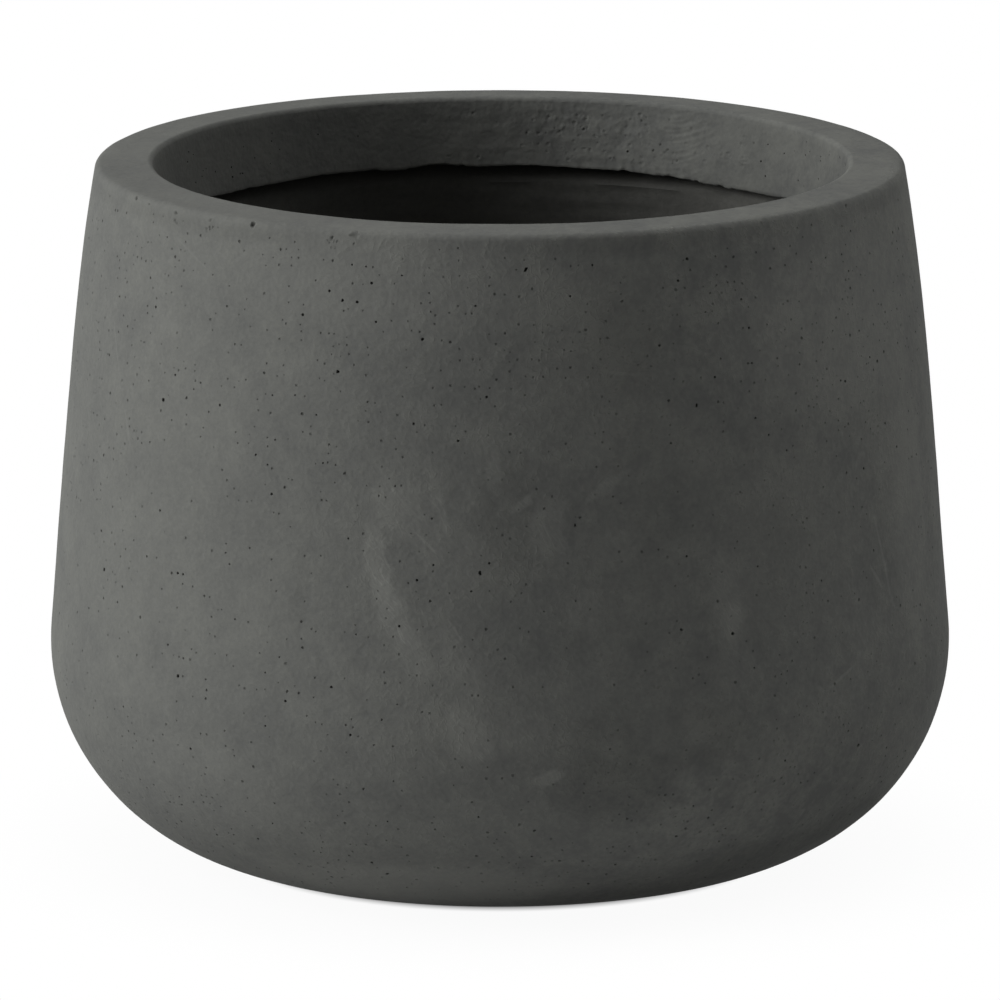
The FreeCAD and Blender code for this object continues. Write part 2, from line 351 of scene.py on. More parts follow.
def pick_faces(faces, count, density, chance):
    """Picks faces at random, more of them where the density is higher."""
    def rank(face):
        return chance.random() ** (1 / density(face.calc_center_median()))
    ranked = sorted(((rank(face), face) for face in by_place(faces)), key=lambda entry: entry[0])
    return [face for _, face in ranked[-count:]]


# Where pinholes crowd: noises by size in mm, shift and weight, bands by level and spread in mm and weight,
# and the scraped stripe, which leans by a degree for every few millimetres of level
PIT_BASE = 0.28
PIT_LEAST = 0.02
PIT_NOISES = ((38, (0, 0, 0), 0.4), (11, (7.1, 2.9, 4.3), 0.45), (110, (3.3, 1.7, 5.1), 0.25))
PIT_BANDS = ((255, 45, 0.38), (45, 30, 0.3))
SCRAPE_BEARING = -13
SCRAPE_BEARING_LEVEL = 148 * MM
SCRAPE_LEAN = 14 * MM
SCRAPE_HALF_WIDTH = 3.2
SCRAPE_LEVEL = 142 * MM
SCRAPE_HALF_HEIGHT = 32 * MM
SCRAPE_WEIGHT = 0.8


def face_density(spot):
    """How crowded pinholes are: in clusters, most on the shoulder, low on the heel and where scraped."""
    density = PIT_BASE
    for size, shift, weight in PIT_NOISES:
        density += weight * noise.noise(spot / (size * MM) + Vector(shift))
    for level, spread, weight in PIT_BANDS:
        density += weight * bell(spot.z, level * MM, spread * MM)
    stripe = SCRAPE_BEARING + (SCRAPE_BEARING_LEVEL - spot.z) / SCRAPE_LEAN
    across = bell(math.degrees(front_bearing(spot)), stripe, SCRAPE_HALF_WIDTH)
    density += SCRAPE_WEIGHT * across * bell(spot.z, SCRAPE_LEVEL, SCRAPE_HALF_HEIGHT)
    return max(PIT_LEAST, density)


# Kinds of pinhole: how many, radius and depth in mm, darkness of the painted shade, and whether the outline
# is rounded
PIT_KINDS = (
    (1300, 0.5, 0.2, 0.28, False), (2000, 0.72, 0.25, 0.35, False), (430, 0.7, 0.4, 0.42, True),
    (200, 0.62, 0.7, 1.0, True), (42, 0.8, 0.9, 1.0, True),
)
BIG_PITS = 9
BIG_PIT_RADIUS = 0.6 * MM
BIG_PIT_DEPTH = 1.1 * MM
# More big pits, where the front shows them: bearing in degrees and level in mm
FRONT_PITS = ((-26.4, 18), (-16.4, 22), (-2.4, 166))
LOWEST_PIT = 9 * MM
HIGHEST_PIT = rim_corner.z - RIM_EDGE_BEVEL - 2 * MM


def takes_pits(face):
    """Whether a face of the coat lies open on the wall, clear of the foot and of the rim's edge."""
    middle = face.calc_center_median()
    return (len(face.verts) == 4 and fully_marked(face, shown) and middle.xy.length > heel_centre.x
            and LOWEST_PIT < middle.z < HIGHEST_PIT)


coat_chance = random.Random(11)
coat.normal_update()
open_faces = [face for face in coat.faces if takes_pits(face)]
big = coat_chance.sample(by_place(open_faces), BIG_PITS)
for bearing, level in FRONT_PITS:
    reach = max(face.calc_center_median().xy.length for face in open_faces
                if abs(face.calc_center_median().z - level * MM) < 2 * COAT_STEP)
    spot = spot_at(bearing, reach, level * MM)
    big.append(min(open_faces, key=lambda face: (face.calc_center_median() - spot).length))
taken = set(big)
for count, radius, depth, darkness, rounded in PIT_KINDS:
    open_faces = [face for face in open_faces if face not in taken]
    picked = pick_faces(open_faces, count, face_density, coat_chance)
    taken = set(picked)
    sink_pits(coat, picked, radius * MM, depth * MM, darkness, coat_chance, rounded=rounded)
sink_pits(coat, big, BIG_PIT_RADIUS, BIG_PIT_DEPTH, 1, coat_chance, stretch=1.9, drift=0.5 * MM)


def linear(hex_colour):
    """A colour written as sRGB hex, as the linear value that shaders take."""
    channels = [int(hex_colour[start:start + 2], 16) / 255 for start in (1, 3, 5)]
    return [c / 12.92 if c <= 0.04045 else ((c + 0.055) / 1.055) ** 2.4 for c in channels] + [1]


def add_node(tree, kind, inputs, **settings):
    """Adds a shader node of a kind with its settings, and sets or links its inputs."""
    node = tree.nodes.new("ShaderNode" + kind)
    for name, value in settings.items():
        setattr(node, name, value)
    for socket, value in inputs.items():
        if isinstance(value, bpy.types.NodeSocket):
            tree.links.new(value, node.inputs[socket])
        else:
            node.inputs[socket].default_value = value
    return node


def start_material(name, ior):
    """Starts a material, and returns it with its nodes, its shader and its Object coordinates."""
    material = bpy.data.materials.new(name)
    material.use_nodes = True
    tree = material.node_tree
    shader = tree.nodes["Principled BSDF"]
    shader.inputs["IOR"].default_value = ior
    return material, tree, shader, add_node(tree, "TexCoord", {}).outputs["Object"]


# Waxed fibre-clay, cast and rubbed down: a matte charcoal with soft clouds, a leathery grain that shows
# most where light grazes it, pinholes darkened with painted shade, pale places where a scraper or cloth
# took off the skin, painted light and shade in tone marks, and painted shade in the crease under the rim.
COAT_PALE = "#6f706c"
COAT_DARK = "#60615f"
COAT_RUBBED = "#868782"
# The colour of painted shade, in pits, pocks, the gap under the lip and the shaded sides of the lip
PAINTED_SHADE_COLOUR = "#1c1c1a"
# Noises over the coat: size, detail and roughness; the grit is coarser than real sand, which wouldn't show
CLOUDS = (95 * MM, 3, 0.55)
MOTTLE = (32 * MM, 4, 0.92)
GRIT = (1.6 * MM, 2, 0.7)
CURL_SIZE = 3.6 * MM
SPECK_SIZE = 1.9 * MM
RUB_SIZE = 46 * MM
# How much paler or darker each layer makes the coat
RUB_PALENESS = 0.25
STROKE_PALENESS = 0.22
PAINTED_LIGHT_PALENESS = 0.18
SCRATCH_PALENESS = 0.4
CURL_PALENESS = 0.1
SMUDGE_AND_SHADE_DARKNESS = 0.12
SPECK_DARKNESS = 0.2
# Painted shade in the crease just under the rim's edge: how dark, and at what level
CREASE_SHADE_DARKNESS = 0.16
CREASE_LEVEL = HEIGHT - 7 * MM
MOTTLE_RELIEF = 9.0
CURL_RELIEF = 1.8
# Marks on the wall unrolled at one radius, and how far noise moves the outlines of soft and fine ones
UNROLL_RADIUS = 195 * MM
OUTLINE_NOISE = 11 * MM
SOFT_SHIFT = 10 * MM
FINE_SHIFT = 2 * MM
# Strokes in the rubbed places: tilt in degrees, length and width in mm
STROKES = ((-65, 14, 1.0), (-44, 7, 0.9))
# Each mark: bearing in degrees, level, half length and half width in mm, tilt in degrees, and strength
RUB_MARKS = (
    (-12.5, 193, 17, 13, -50, 0.7), (-8, 197, 13, 3, -72, 0.8), (-15.6, 170, 22, 6, -75, 1.0),
    (-13.8, 149, 19, 7, -68, 0.9), (-11, 133, 16, 8, -62, 0.7), (-5, 127, 20, 9, -70, 0.55),
    (-3.8, 96, 17, 10, -65, 1.0), (3, 98, 14, 9, 30, 0.4), (6, 77, 9, 3, 25, 0.7),
    (6.6, 185, 10, 13, 0, 0.6), (-0.9, 211, 11, 4, -85, 0.5), (2.9, 197, 7, 2.4, 35, 0.7),
    (13.8, 203, 13, 3, 32, 0.8), (12.2, 222, 12, 10, 80, 0.4), (30, 146, 26, 9, -85, 0.6),
    (30.5, 141, 8, 5, 90, 0.7), (15.6, 176, 12, 9, 10, 0.35), (10.7, 150, 8, 10, 0, 0.35),
    (10, 115, 12, 12, 0, 0.4), (23, 93, 16, 9, 5, 0.3), (14, 88, 8, 7, 0, 0.35),
    (31, 118, 14, 10, 20, 0.35), (-26.3, 158, 24, 4, 88, -0.5), (9.3, 188, 10, 4, 85, -0.6),
    (21, 187, 22, 14, 60, -0.4), (38, 170, 24, 12, 80, -0.3),
)
# Tone marks are painted light and shade: positive ones lighten the coat, negative ones darken it
PAINTED_LIGHT_MARKS = (
    (-14, 288, 85, 26, 0, 0.9), (52, 262, 75, 45, 0, 1.3), (68, 170, 22, 70, 0, 1.0),
    (-45, 62, 60, 24, 0, 0.4), (-12, 20, 90, 14, 0, 1.9), (17, 262, 20, 24, 0, -0.8),
    (42, 24, 50, 14, 0, -1.4), (15, 72, 34, 20, 0, -1.1), (62, 30, 40, 16, 0, -2.2),
    (1, 190, 16, 32, 0, -0.9), (26, 92, 24, 16, 0, -0.8), (13, 95, 16, 18, 0, -0.6),
)
SCRATCHES = (
    (48, 107, 11, 0.9, 26, 0.6), (44, 104, 3, 1.2, -30, 0.5), (58.6, 152, 24, 1.1, -75, 0.5),
    (56.6, 146, 7.5, 1.0, -53, 0.6), (16.3, 251, 9, 0.9, -8, 0.45), (-9.3, 179, 7, 0.7, -44, 0.6),
    (-5.8, 143, 6, 0.7, -58, 0.45), (-14.6, 172, 6, 0.7, -66, 0.4), (-14, 203, 14, 0.7, -52, 0.35),
    (5.5, 79, 7, 1.2, 25, 0.4), (-63, 245, 12, 0.8, -64, 0.35), (-58, 210, 9, 0.9, -66, 0.35),
    (-47, 292, 14, 0.7, -24, 0.3),
)
WEAR_MARKS = (
    (40, 272, 65, 38, 0, 1.6), (34, 58, 65, 32, 0, 1.5), (40, 160, 42, 48, 0, -0.7),
    (0, 284, 45, 24, 0, 0.6), (-60, 170, 50, 70, 0, -0.3),
)

face_clay, tree, shader, place = start_material("waxed_fibre_clay", ior=1.5)
shader.inputs["Specular IOR Level"].default_value = 0.05
parts = add_node(tree, "SeparateXYZ", {0: place}).outputs
askew = add_node(tree, "VectorRotate", {"Vector": place, "Axis": (0.4, 0.7, 0.6), "Angle": 0.8},
                 rotation_type="AXIS_ANGLE").outputs[0]

# Marks are soft ellipses on the unrolled wall, their outlines broken up by noise
toward = add_node(tree, "Math", {0: parts["Y"], 1: -1}, operation="MULTIPLY").outputs[0]
bearing = add_node(tree, "Math", {0: parts["X"], 1: toward}, operation="ARCTAN2").outputs[0]
run = add_node(tree, "Math", {0: bearing, 1: UNROLL_RADIUS}, operation="MULTIPLY").outputs[0]
unrolled = add_node(tree, "CombineXYZ", {"X": run, "Y": parts["Z"]}).outputs[0]
ragged = add_node(tree, "TexNoise", {"Vector": place, "Scale": 1 / OUTLINE_NOISE, "Detail": 3,
                                     "Roughness": 0.65}).outputs["Color"]
ragged = add_node(tree, "VectorMath", {0: ragged, 1: (0.5, 0.5, 0.5)}, operation="SUBTRACT").outputs[0]
unsteady, hand_drawn = [
    add_node(tree, "VectorMath", {0: ragged, 1: (shift, shift, 0), 2: unrolled},
             operation="MULTIPLY_ADD").outputs[0]
    for shift in (SOFT_SHIFT, FINE_SHIFT)]


def add_marks(tree, total, marks, surface):
    """Adds soft ellipses on the unrolled wall to a total, and returns the new total."""
    for mark_bearing, level, half_length, half_width, tilt, strength in marks:
        middle = (math.radians(mark_bearing) * UNROLL_RADIUS, level * MM, 0)
        within = add_node(tree, "Mapping",
                          {"Vector": surface, "Location": middle, "Rotation": (0, 0, math.radians(tilt)),
                           "Scale": (half_length * MM, half_width * MM, 1)},
                          vector_type="TEXTURE").outputs[0]
        within = add_node(tree, "VectorMath", {0: within}, operation="LENGTH").outputs["Value"]
        within = add_node(tree, "MapRange",
                          {"Value": within, "From Min": 1.2, "From Max": 0.5, "To Max": strength},
                          interpolation_type="SMOOTHSTEP").outputs[0]
        if total is None:
            total = within
        else:
            total = add_node(tree, "Math", {0: total, 1: within}, operation="ADD").outputs[0]
    return total


# Clouds and mottling, stronger where the wall is more worn
clouds, mottle, grit = [
    add_node(tree, "TexNoise", {"Vector": askew, "Scale": 1 / size, "Detail": detail,
                                "Roughness": roughness}).outputs["Fac"]
    for size, detail, roughness in (CLOUDS, MOTTLE, GRIT)]
wear = add_node(tree, "MapRange", {"Value": parts["X"], "From Min": -120 * MM, "From Max": 40 * MM,
                                   "To Min": 1.7, "To Max": 3.0}).outputs[0]
wear = add_marks(tree, wear, WEAR_MARKS, unsteady)
swing = add_node(tree, "Math", {0: mottle, 1: 0.5}, operation="SUBTRACT").outputs[0]
swing = add_node(tree, "Math", {0: swing, 1: wear}, operation="MULTIPLY").outputs[0]
blend = add_node(tree, "Math", {0: clouds, 1: grit}, operation="ADD").outputs[0]
blend = add_node(tree, "Math", {0: blend, 1: 0.8, 2: swing}, operation="MULTIPLY_ADD").outputs[0]
tone = add_node(tree, "MapRange", {"Value": blend, "From Min": 0.35, "From Max": 1.25}).outputs[0]
colour = add_node(tree, "Mix", {0: tone, 6: linear(COAT_DARK), 7: linear(COAT_PALE)},
                  data_type="RGBA").outputs[2]

# Fine pale curls and dark specks in the mottled patches, most of them on the right and none on the rim
curl = add_node(tree, "TexNoise", {"Vector": askew, "Scale": 1 / CURL_SIZE, "Detail": 1,
                                   "Roughness": 0.6, "Distortion": 0.4}).outputs["Fac"]
curl = add_node(tree, "Math", {0: curl, 1: 0.5}, operation="SUBTRACT").outputs[0]
curl = add_node(tree, "Math", {0: curl}, operation="ABSOLUTE").outputs[0]
curl = add_node(tree, "MapRange", {"Value": curl, "From Min": 0.05, "From Max": 0.0}).outputs[0]
specks = add_node(tree, "TexNoise", {"Vector": place, "Scale": 1 / SPECK_SIZE, "Detail": 1}).outputs["Fac"]
specks = add_node(tree, "MapRange", {"Value": specks, "From Min": 0.64, "From Max": 0.72,
                                     "To Max": SPECK_DARKNESS}).outputs[0]
fine_share = add_node(tree, "MapRange", {"Value": parts["X"], "From Min": -110 * MM,
                                         "From Max": 60 * MM, "To Min": 0.15,
                                         "To Max": 1.0}).outputs[0]
fine_patch = add_node(tree, "MapRange", {"Value": mottle, "From Min": 0.42, "From Max": 0.6}).outputs[0]
coated = add_node(tree, "Attribute", {}, attribute_name="shown").outputs["Fac"]
for factor in (fine_patch, coated):
    fine_share = add_node(tree, "Math", {0: fine_share, 1: factor}, operation="MULTIPLY").outputs[0]
curl, specks = [
    add_node(tree, "Math", {0: layer, 1: fine_share}, operation="MULTIPLY").outputs[0]
    for layer in (curl, specks)]

# Where the skin is rubbed off, with strokes in it on two slants, both down to the right
rubbed = add_node(tree, "TexNoise", {"Vector": place, "Scale": 1 / RUB_SIZE, "Detail": 3,
                                     "Roughness": 0.6}).outputs["Fac"]
rubbed = add_node(tree, "MapRange",
                  {"Value": rubbed, "From Min": 0.6, "From Max": 0.78, "To Max": 0.5}).outputs[0]
rubbed = add_marks(tree, rubbed, RUB_MARKS, unsteady)
# Painted light and shade from the tone marks
painted_light_and_shade = add_marks(tree, None, PAINTED_LIGHT_MARKS, unsteady)
scratched = add_marks(tree, None, SCRATCHES, hand_drawn)
stroke = None
for tilt, stroke_length, stroke_width in STROKES:
    slant = add_node(tree, "Mapping",
                     {"Vector": hand_drawn, "Rotation": (0, 0, math.radians(tilt)),
                      "Scale": (stroke_length * MM, stroke_width * MM, 1)},
                     vector_type="TEXTURE").outputs[0]
    scratch = add_node(tree, "TexNoise", {"Vector": slant, "Scale": 1, "Detail": 1}).outputs["Fac"]
    scratch = add_node(tree, "MapRange", {"Value": scratch, "From Min": 0.57, "From Max": 0.7}).outputs[0]
    if stroke is None:
        stroke = scratch
    else:
        stroke = add_node(tree, "Math", {0: stroke, 1: scratch}, operation="MAXIMUM").outputs[0]
pale, painted_light = [
    add_node(tree, "Math", {0: layer, 1: 0.0}, operation="MAXIMUM").outputs[0]
    for layer in (rubbed, painted_light_and_shade)]
share = add_node(tree, "Math", {0: stroke, 1: STROKE_PALENESS, 2: RUB_PALENESS},
                 operation="MULTIPLY_ADD").outputs[0]
share = add_node(tree, "Math", {0: share, 1: pale}, operation="MULTIPLY").outputs[0]
for layer, paleness in ((painted_light, PAINTED_LIGHT_PALENESS), (scratched, SCRATCH_PALENESS), (curl, CURL_PALENESS)):
    share = add_node(tree, "Math", {0: layer, 1: paleness, 2: share}, operation="MULTIPLY_ADD").outputs[0]
colour = add_node(tree, "Mix", {0: share, 6: colour, 7: linear(COAT_RUBBED)}, data_type="RGBA").outputs[2]

# Dark smudges, painted shade from tone marks, in the crease under the rim's edge and in the pinholes
dark = add_node(tree, "Math", {0: rubbed, 1: painted_light_and_shade}, operation="ADD").outputs[0]
dark = add_node(tree, "Math", {0: dark, 1: -SMUDGE_AND_SHADE_DARKNESS}, operation="MULTIPLY").outputs[0]
crease_shade = add_node(tree, "Math", {0: parts["Z"], 1: CREASE_LEVEL}, operation="SUBTRACT").outputs[0]
crease_shade = add_node(tree, "Math", {0: crease_shade}, operation="ABSOLUTE").outputs[0]
crease_shade = add_node(tree, "MapRange", {"Value": crease_shade, "From Min": 5 * MM, "From Max": 1 * MM,
                                     "To Max": CREASE_SHADE_DARKNESS}).outputs[0]
crease_shade = add_node(tree, "Math", {0: crease_shade, 1: clouds}, operation="MULTIPLY").outputs[0]
dark = add_node(tree, "Math", {0: crease_shade, 1: coated, 2: dark}, operation="MULTIPLY_ADD").outputs[0]
dark = add_node(tree, "Math", {0: dark, 1: specks}, operation="ADD").outputs[0]
painted_shade = add_node(tree, "Attribute", {}, attribute_name="painted_shade").outputs["Fac"]
dark = add_node(tree, "Math", {0: dark, 1: painted_shade}, operation="MAXIMUM").outputs[0]
colour = add_node(tree, "Mix", {0: dark, 6: colour, 7: linear(PAINTED_SHADE_COLOUR)}, data_type="RGBA").outputs[2]
tree.links.new(colour, shader.inputs["Base Color"])
rough = add_node(tree, "MapRange", {"Value": mottle, "From Min": 0.3, "From Max": 0.7,
                                    "To Min": 0.85, "To Max": 0.97}).outputs[0]
tree.links.new(rough, shader.inputs["Roughness"])
relief = grit
for layer, height in ((mottle, MOTTLE_RELIEF), (curl, CURL_RELIEF)):
    relief = add_node(tree, "Math", {0: layer, 1: height, 2: relief}, operation="MULTIPLY_ADD").outputs[0]
bump = add_node(tree, "Bump", {"Height": relief, "Distance": 0.14 * MM, "Strength": 0.6}).outputs[0]
tree.links.new(bump, shader.inputs["Normal"])


def finish_piece(mesh, name, material):
    """Makes a finished bmesh an object, smooth except at its sharp edges."""
    for face in mesh.faces:
        face.smooth = True
    data = bpy.data.meshes.new(name)
    mesh.to_mesh(data)
    mesh.free()
    data.set_sharp_from_angle(angle=math.radians(40))
    data.materials.append(material)
    piece = bpy.data.objects.new(name, data)
    bpy.context.scene.collection.objects.link(piece)
    return piece


face_coat = finish_piece(coat, "face_coat", face_clay)
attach(face_coat, "vessel")
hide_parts("face_base", "face_wall")


# Glass mats
# Behind the face coat lies a chopped-strand glass mat, wetted out with slurry, up the wall and across the
# base. Only its cut edge shows, in the drain hole: pale strands in grey slurry.

MAT_SLURRY = "#8f8f86"
MAT_STRAND = "#d3d2c6"
STRAND_WIDTH = 2 * MM
STRAND_STRETCH = (1, 1, 0.06)
STRAND_TURNS = (0.4, 1.5, 2.6)

glass_mat, tree, shader, place = start_material("slurry_filled_glass_mat", ior=1.5)
shader.inputs["Roughness"].default_value = 0.8
strand_share = None
for turn in STRAND_TURNS:
    turned = add_node(tree, "VectorRotate", {"Vector": place, "Axis": (1, 1, 0.6), "Angle": turn},
                      rotation_type="AXIS_ANGLE").outputs[0]
    stretched = add_node(tree, "VectorMath", {0: turned, 1: STRAND_STRETCH},
                         operation="MULTIPLY").outputs[0]
    strands = add_node(tree, "TexNoise",
                       {"Vector": stretched, "Scale": 1 / STRAND_WIDTH, "Detail": 1}).outputs["Fac"]
    strands = add_node(tree, "MapRange", {"Value": strands, "From Min": 0.55, "From Max": 0.65}).outputs[0]
    if strand_share is None:
        strand_share = strands
    else:
        strand_share = add_node(tree, "Math", {0: strand_share, 1: strands},
                                operation="MAXIMUM").outputs[0]
colour = add_node(tree, "Mix", {0: strand_share, 6: linear(MAT_SLURRY), 7: linear(MAT_STRAND)},
                  data_type="RGBA").outputs[2]
tree.links.new(colour, shader.inputs["Base Color"])
bump = add_node(tree, "Bump", {"Height": strand_share, "Distance": 0.2 * MM, "Strength": 0.7}).outputs[0]
tree.links.new(bump, shader.inputs["Normal"])


def finish_node(node_name, material):
    """Gives a CAD solid, whose shape is right as it is, its material."""
    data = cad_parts[node_name].data
    data.materials.clear()
    data.materials.append(material)


finish_node("wall_mat", glass_mat)
finish_node("base_mat", glass_mat)


# Inner floor
# The floor is laid over the base mat and trowelled in rings round the drain hole, with a cove up to the
# wall. The seat of the drain plug stays level.

BACKING_INSET = 5.6 * MM
FLOOR_LOW = 9.6 * MM
FLOOR_TOP = 17.6 * MM
FLOOR_COLUMNS = 200
SEAT_RADIUS = 24 * MM
SEAT_FADE = 12 * MM
RING_WIDTH = 9 * MM
RING_HEIGHT = 0.6 * MM
RING_DRIFT = 1.5
FLOOR_LUMP = 14 * MM
FLOOR_LUMP_HEIGHT = 0.25 * MM
COVE_START = 118 * MM
COVE_RUN = 20 * MM
COVE_RISE = 5 * MM

floor_lay = bmesh.new()
floor_lay.verts.layers.float.new("painted_shade")
low_angle = level_angle(heel_centre, HEEL_RADIUS - BACKING_INSET, FLOOR_LOW)
top_angle = level_angle(heel_centre, HEEL_RADIUS - BACKING_INSET, FLOOR_TOP)
top = SectionPen(floor_lay, point(DRAIN_RADIUS, FLOOR_TOP))
top.line(polar(heel_centre, HEEL_RADIUS - BACKING_INSET, top_angle), COAT_STEP)
under = SectionPen(floor_lay, point(DRAIN_RADIUS, FLOOR_LOW))
under.line(polar(heel_centre, HEEL_RADIUS - BACKING_INSET, low_angle), HIDDEN_STEP)
under.arc(heel_centre, top_angle - low_angle, HIDDEN_STEP)
floor_lay.edges.new((top.first, under.first))
turn_section(floor_lay, FLOOR_COLUMNS)
for vert in floor_lay.verts:
    reach = vert.co.xy.length
    if vert.co.z < FLOOR_TOP - SEAM_TOLERANCE or reach < SEAT_RADIUS:
        continue
    share = min(1, (reach - SEAT_RADIUS) / SEAT_FADE)
    bearing = math.atan2(vert.co.y, vert.co.x)
    ring_spot = Vector((reach / RING_WIDTH, math.cos(bearing) * RING_DRIFT, math.sin(bearing) * RING_DRIFT))
    rings = RING_HEIGHT * noise.noise(ring_spot)
    lumps = FLOOR_LUMP_HEIGHT * noise.noise(vert.co / FLOOR_LUMP)
    vert.co.z += share * (rings + lumps) + COVE_RISE * clamp((reach - COVE_START) / COVE_RUN) ** 2


# Trowelled fibre-clay: the same mix left as the trowel leaves it, rougher, a shade darker, with crumbs.
LAY_PALE = "#61615d"
LAY_DARK = "#52524f"
SMEAR_SIZE = 45 * MM
SMEAR_STRETCH = (1, 1, 6)
CRUMB_SIZE = 3 * MM

lay_clay, tree, shader, place = start_material("trowelled_fibre_clay", ior=1.5)
shader.inputs["Specular IOR Level"].default_value = 0.3
smears = add_node(tree, "VectorMath", {0: place, 1: SMEAR_STRETCH}, operation="MULTIPLY").outputs[0]
smear = add_node(tree, "TexNoise", {"Vector": smears, "Scale": 1 / SMEAR_SIZE, "Detail": 4,
                                    "Roughness": 0.6}).outputs["Fac"]
crumb = add_node(tree, "TexNoise", {"Vector": place, "Scale": 1 / CRUMB_SIZE, "Detail": 3,
                                    "Roughness": 0.65}).outputs["Fac"]
blend = add_node(tree, "Math", {0: smear, 1: crumb}, operation="ADD").outputs[0]
tone = add_node(tree, "MapRange", {"Value": blend, "From Min": 0.7, "From Max": 1.3}).outputs[0]
colour = add_node(tree, "Mix", {0: tone, 6: linear(LAY_DARK), 7: linear(LAY_PALE)},
                  data_type="RGBA").outputs[2]
# Painted shade from the attribute darkens the gap under the lip
painted_shade = add_node(tree, "Attribute", {}, attribute_name="painted_shade").outputs["Fac"]
colour = add_node(tree, "Mix", {0: painted_shade, 6: colour, 7: linear(PAINTED_SHADE_COLOUR)}, data_type="RGBA").outputs[2]
tree.links.new(colour, shader.inputs["Base Color"])
rough = add_node(tree, "MapRange", {"Value": crumb, "From Min": 0.3, "From Max": 0.7,
                                    "To Min": 0.82, "To Max": 0.93}).outputs[0]
tree.links.new(rough, shader.inputs["Roughness"])
bump = add_node(tree, "Bump", {"Height": crumb, "Distance": 0.5 * MM, "Strength": 0.7}).outputs[0]
tree.links.new(bump, shader.inputs["Normal"])

floor_piece = finish_piece(floor_lay, "inner_floor", lay_clay)
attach(floor_piece, "vessel")
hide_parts("backing_floor")


# Inner wall
# The backing is pressed over the wall mat by hand and drawn round with a trowel, so that it keeps low
# stepped ridges. Under the lip it has a shelf, and above that a recessed gap, darkened with painted shade.

CAVITY_INSET = 10.6 * MM
WALL_COLUMNS = 300
LIP_LEVEL = 279.4 * MM
LIP_DRAFT = math.radians(6.5)
LIP_STEP = 5 * MM
NECK_DEPTH = 90 * MM
BOND = 0.2 * MM
RIDGE_SPACING = 6 * MM
RIDGE_HEIGHT = 1.1 * MM
RIDGE_WANDER = 3 * MM
RIDGE_WANDER_SIZE = 90 * MM
# The backing's lumps and crumbs: size and height
WALL_LUMPS = ((18 * MM, 0.5 * MM), (6 * MM, 0.35 * MM))
SHELF_LEVEL = LIP_LEVEL - 9.5 * MM
SHELF_WANDER = 2.5 * MM
SHELF_FADE = 2 * MM
SHELF_HEIGHT = 1.2 * MM
# The gap: its height, how far it is set back, and how dark its painted shade is
GAP_HEIGHT = 5.5 * MM
GAP_DEPTH = 7 * MM
GAP_PAINTED_SHADE = 0.6

wall_lay = bmesh.new()
drawn = wall_lay.verts.layers.float.new("drawn")
gap_shade_layer = wall_lay.verts.layers.float.new("painted_shade")
wall_top = LIP_LEVEL - BOND
inside_angle = level_angle(heel_centre, HEEL_RADIUS - CAVITY_INSET, FLOOR_TOP + BOND)
behind_angle = level_angle(heel_centre, HEEL_RADIUS - BACKING_INSET, FLOOR_TOP + BOND)
inside = SectionPen(wall_lay, polar(heel_centre, HEEL_RADIUS - CAVITY_INSET, inside_angle))
inside.arc(heel_centre, FLANK_LEAN - inside_angle, COAT_STEP)
inside_low = polar(heel_centre, HEEL_RADIUS - CAVITY_INSET, FLANK_LEAN)
neck_run = (LIP_LEVEL - NECK_DEPTH - inside_low.z) / math.cos(FLANK_LEAN)
inside.line(polar(inside_low, neck_run, FLANK_LEAN + math.pi / 2), COAT_STEP)
lip_depth = HEIGHT - LIP_LEVEL
lip_corner = point(mouth_corner.x - lip_depth * math.tan(LIP_DRAFT), LIP_LEVEL)
inside.line(lip_corner + point(LIP_STEP, -BOND), 0.5 * COAT_STEP)
for vert in wall_lay.verts:
    vert[drawn] = 1
behind = SectionPen(wall_lay, polar(heel_centre, HEEL_RADIUS - BACKING_INSET, behind_angle))
behind.wall(BACKING_INSET, behind_angle, wall_top, HIDDEN_STEP)
close_section(inside, behind)
turn_section(wall_lay, WALL_COLUMNS)
for vert in wall_lay.verts:
    if vert[drawn] < HALF_MARK:
        continue
    inward = Vector((-vert.co.x, -vert.co.y, 0)).normalized()
    level = vert.co.z + RIDGE_WANDER * noise.noise(vert.co / RIDGE_WANDER_SIZE)
    ridge = noise.noise(Vector((level / RIDGE_SPACING, inward.x * 2, inward.y * 2)))
    shelf_level = SHELF_LEVEL + SHELF_WANDER * noise.noise(inward * 3)
    shelf = clamp((vert.co.z - shelf_level) / SHELF_FADE)
    gap = bell(vert.co.z, wall_top, GAP_HEIGHT)
    # The gap is darkened with painted shade as well as set back
    vert[gap_shade_layer] = GAP_PAINTED_SHADE * gap
    proud = RIDGE_HEIGHT * abs(ridge) + SHELF_HEIGHT * shelf - GAP_DEPTH * gap
    proud += sum(height * noise.noise(vert.co / size) for size, height in WALL_LUMPS)
    vert.co += proud * inward
wall_piece = finish_piece(wall_lay, "inner_wall", lay_clay)
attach(wall_piece, "vessel")
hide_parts("backing_wall")


# Rim
# The rim is packed by hand into the top of the wall and trowelled smooth on top. Its lip turns down inside
# the mouth, where the trowel leaves pocks and fine ridges, and ends in a ragged, crumbling edge.

MAT_INSET = 4.2 * MM
MOUTH_BEVEL = 2 * MM
MOUTH_BULGE = 0.7 * MM
LIP_BEVEL = 1.7 * MM
LIP_HOLLOW = 1.5 * MM
LIP_FADE = 6 * MM
# How dark painted shade makes the lip's sides
LIP_PAINTED_SHADE = 0.22
RIM_STEP = 2 * MM
TOP_TOLERANCE = 0.01 * MM
# The stretch of lip that the trowel left rough, as bearings from the back, and the room round it
ROUGH_START = -0.2
ROUGH_END = 0.85
ROUGH_MARGIN = 0.03
# Kinds of pock on the rough stretch: how many, least and most radius in mm, depth over radius, and painted
# shade
POCKS = ((80, 0.6, 1.2, 0.26, 0.06), (22, 0.45, 0.65, 0.9, 0.8))
